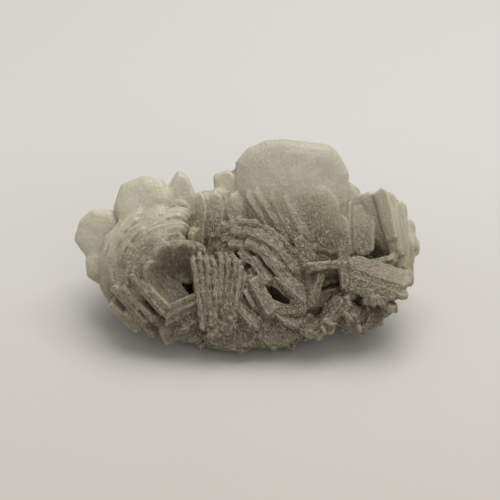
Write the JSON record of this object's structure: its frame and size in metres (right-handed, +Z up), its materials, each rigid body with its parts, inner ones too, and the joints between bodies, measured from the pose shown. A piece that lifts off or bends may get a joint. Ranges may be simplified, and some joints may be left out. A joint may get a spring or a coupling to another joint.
{
  "type": "barite cluster",
  "caption": "Hand specimen of barite: thick tabular crystals grown together in combs and roses on a massive root, with a flat spot that it rests on.",
  "frame": {"origin": "a point of the flat spot that the specimen rests on, under the middle of the specimen", "axes": "+X across the specimen to the right of its face, its longest way; +Y to the back, away from the face; +Z up from the flat spot"},
  "size_m": [0.0958, 0.0524, 0.0484],
  "materials": {
    "barite": "pale grey-green translucent barite with a dull glassy lustre, brown clay in the hollows"
  },
  "bodies": {
    "root": {"barite_cluster": "barite"}
  },
  "joints": []
}
